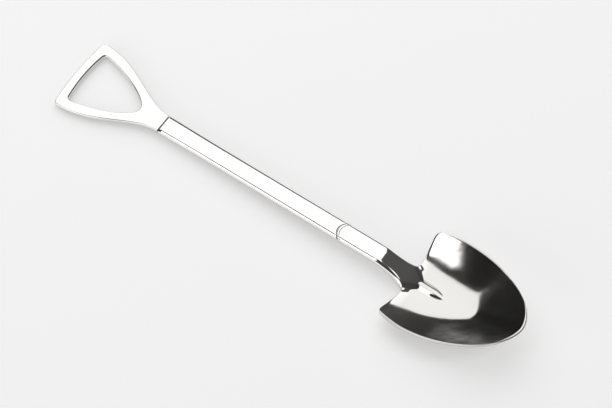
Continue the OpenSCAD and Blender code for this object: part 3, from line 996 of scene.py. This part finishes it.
class SPOON_OT_grip(Operator):
    """Makes the flat finger grip with its three-sided hole."""

    bl_idname = "spoon.grip"
    bl_label = "Finger grip"

    def execute(self, context):
        shape = SpoonShape(context.scene)
        edges = {False: shape.grip_edge(), True: shape.hole_edge()}
        half_steps = len(edges[False]) - 1
        last_step = PLATE_TOP_STEPS + EDGE_COLUMNS
        quarter_steps = last_step + 1
        start_fresh()
        bpy.ops.mesh.primitive_torus_add(
            major_segments=2 * half_steps,
            minor_segments=4 * quarter_steps,
            major_radius=RING_RADIUS,
            minor_radius=RING_TUBE,
        )
        piece = context.object
        piece.name = "finger_grip"

        # The tube's quarters become the top by the edge, the top by the hole, and the same two below
        def on_plate(corner):
            step = round(atan2(corner.y, corner.x) / pi * half_steps)
            turn = atan2(corner.z, Vector(corner.xy).length - RING_RADIUS) / (2 * pi) % 1
            quarter, from_start = divmod(round(turn * 4 * quarter_steps), quarter_steps)
            by_hole = quarter in (1, 2)
            inset, drop = shape.plate_edge(from_start if quarter % 2 else last_step - from_start)
            point = inset_point(edges[by_hole], abs(step), inset, by_hole)
            y = point.y if step > 0 else -point.y
            return Vector((point.x, y, -drop if quarter < 2 else drop - shape.grip.thickness))

        place_corners(piece, on_plate)
        turn_outward()
        bpy.ops.object.shade_smooth_by_angle(angle=SMOOTH_ANGLE)
        lie_on_table(piece, shape)
        hand_over(piece, "grip", polished_stainless_steel(context.scene))
        return {"FINISHED"}


class SPOON_OT_shaft(Operator):
    """Makes the flat-topped shaft with its long slanting shoulders."""

    bl_idname = "spoon.shaft"
    bl_label = "Shaft"

    def execute(self, context):
        shape = SpoonShape(context.scene)
        piece = flat_slab("shaft_bar", SHAFT_ROWS, 2 * BAR_COLUMNS)
        bpy.ops.object.mode_set(mode="OBJECT")

        def on_shaft(corner):
            along = spaced(row_number(corner.x, SHAFT_ROWS), SHAFT_ROWS, END_MARGIN, END_MARGIN)
            return shape.shaft_point(along, corner.y, corner.z > 0)

        place_corners(piece, on_shaft)
        turn_outward()
        round_off(piece)
        lie_on_table(piece, shape)
        hand_over(piece, "shaft", polished_stainless_steel(context.scene))
        return {"FINISHED"}


class SPOON_OT_blade(Operator):
    """Makes the dished blade and the socket that runs out of its back edge."""

    bl_idname = "spoon.blade"
    bl_label = "Blade and socket"

    def execute(self, context):
        shape = SpoonShape(context.scene)
        blade = shape.blade
        piece = flat_slab("shovel_blade", BLADE_ROWS, 2 * HALF_COLUMNS)
        select_faces(piece, lambda centre: centre.x < LAYOUT_SLACK - 1 and abs(centre.y) < FOOT_OUT)
        for _ in range(SOCKET_ROWS):
            bpy.ops.mesh.extrude_region_move(TRANSFORM_OT_translate={"value": (-1, 0, 0)})
        bpy.ops.object.mode_set(mode="OBJECT")

        def along_socket(row):
            if row <= LIP_ROWS:
                return blade.lip_width * row / LIP_ROWS
            turn = (row - LIP_ROWS) / (SOCKET_ROWS - LIP_ROWS)
            return blend(blade.lip_width, blade.socket_length, sin(pi / 2 * turn))

        def across_blade(out):
            if out <= FOOT_OUT + LAYOUT_SLACK:
                return shape.bar_side(min(1, out / FOOT_OUT), blade.foot_width / 2) / shape.corner_y
            step = round((out - FOOT_OUT) / (1 - FOOT_OUT) * WING_COLUMNS)
            return blend(shape.foot_share, 1, spaced(step, WING_COLUMNS, 0, RIM_MARGIN))

        def on_blade(corner):
            top = corner.z > 0
            socket_row = round(SOCKET_ROWS + 1 + corner.x)
            if socket_row < SOCKET_ROWS:
                return shape.socket_point(along_socket(socket_row), corner.y / FOOT_OUT, top)
            along = spaced(row_number(corner.x, BLADE_ROWS), BLADE_ROWS, BACK_MARGIN, BACK_MARGIN)
            along = blend(along, along * along, ROW_CROWDING)
            share = across_blade(abs(corner.y))
            return shape.bowl_point(along, share if corner.y > 0 else -share, top)

        place_corners(piece, on_blade)
        turn_outward()
        round_off(piece)
        lie_on_table(piece, shape)
        hand_over(piece, "blade", polished_stainless_steel(context.scene))
        return {"FINISHED"}


class SPOON_OT_dowels(Operator):
    """Gives the two hidden dowels their drawn-rod finish."""

    bl_idname = "spoon.dowels"
    bl_label = "Dowels"

    def execute(self, context):
        material = drawn_steel_rod(context.scene.spoon_finish)
        for name in ("grip_dowel", "socket_dowel"):
            mesh = frame["nodes"][name].data
            mesh.materials.clear()
            mesh.materials.append(material)
        return {"FINISHED"}


class SPOON_OT_stage(Operator):
    """Lays the table and sets the lamps, the room and the camera."""

    bl_idname = "spoon.stage"
    bl_label = "Stage"

    def execute(self, context):
        scene = context.scene
        settings = scene.spoon_stage
        facing = Matrix.Rotation(settings.azimuth, 4, "Z")
        lay_table(settings)
        hang_softbox("overhead_softbox", scene.spoon_overhead_softbox, facing)
        hang_softbox("far_strip", scene.spoon_far_strip, facing)
        hang_softbox("side_softbox", scene.spoon_side_softbox, facing)
        scene.world = dim_room(settings, facing)
        scene.camera = aimed_camera(settings, facing)
        scene.view_settings.view_transform = "Standard"
        return {"FINISHED"}


class SPOON_PT_panel(Panel):
    """Lists the pieces of the teaspoon."""

    bl_label = "Teaspoon"
    bl_idname = "SPOON_PT_panel"
    bl_space_type = "VIEW_3D"
    bl_region_type = "UI"
    bl_category = "Teaspoon"

    def draw(self, context):
        for operator in OPERATORS:
            self.layout.operator(operator.bl_idname)


GROUPS = {
    "spoon_grip": GripSizes,
    "spoon_shaft": ShaftSizes,
    "spoon_blade": BladeSizes,
    "spoon_finish": SteelFinish,
    "spoon_overhead_softbox": OverheadSoftbox,
    "spoon_side_softbox": SideSoftbox,
    "spoon_far_strip": FarStrip,
    "spoon_stage": StageSettings,
}
OPERATORS = (SPOON_OT_grip, SPOON_OT_shaft, SPOON_OT_blade, SPOON_OT_dowels, SPOON_OT_stage)
CLASSES = (*GROUPS.values(), *OPERATORS, SPOON_PT_panel)


def register():
    """Registers the classes and gives the scene its sizes and settings."""
    for each in CLASSES:
        bpy.utils.register_class(each)
    for name, group in GROUPS.items():
        setattr(bpy.types.Scene, name, PointerProperty(type=group))


def unregister():
    """Takes the sizes and settings from the scene and unregisters the classes."""
    for name in GROUPS:
        delattr(bpy.types.Scene, name)
    for each in reversed(CLASSES):
        bpy.utils.unregister_class(each)


def main():
    """Makes the spoon and its stage."""
    register()
    bpy.ops.spoon.grip()
    bpy.ops.spoon.shaft()
    bpy.ops.spoon.blade()
    bpy.ops.spoon.dowels()
    bpy.ops.spoon.stage()


if __name__ == "__main__":
    main()
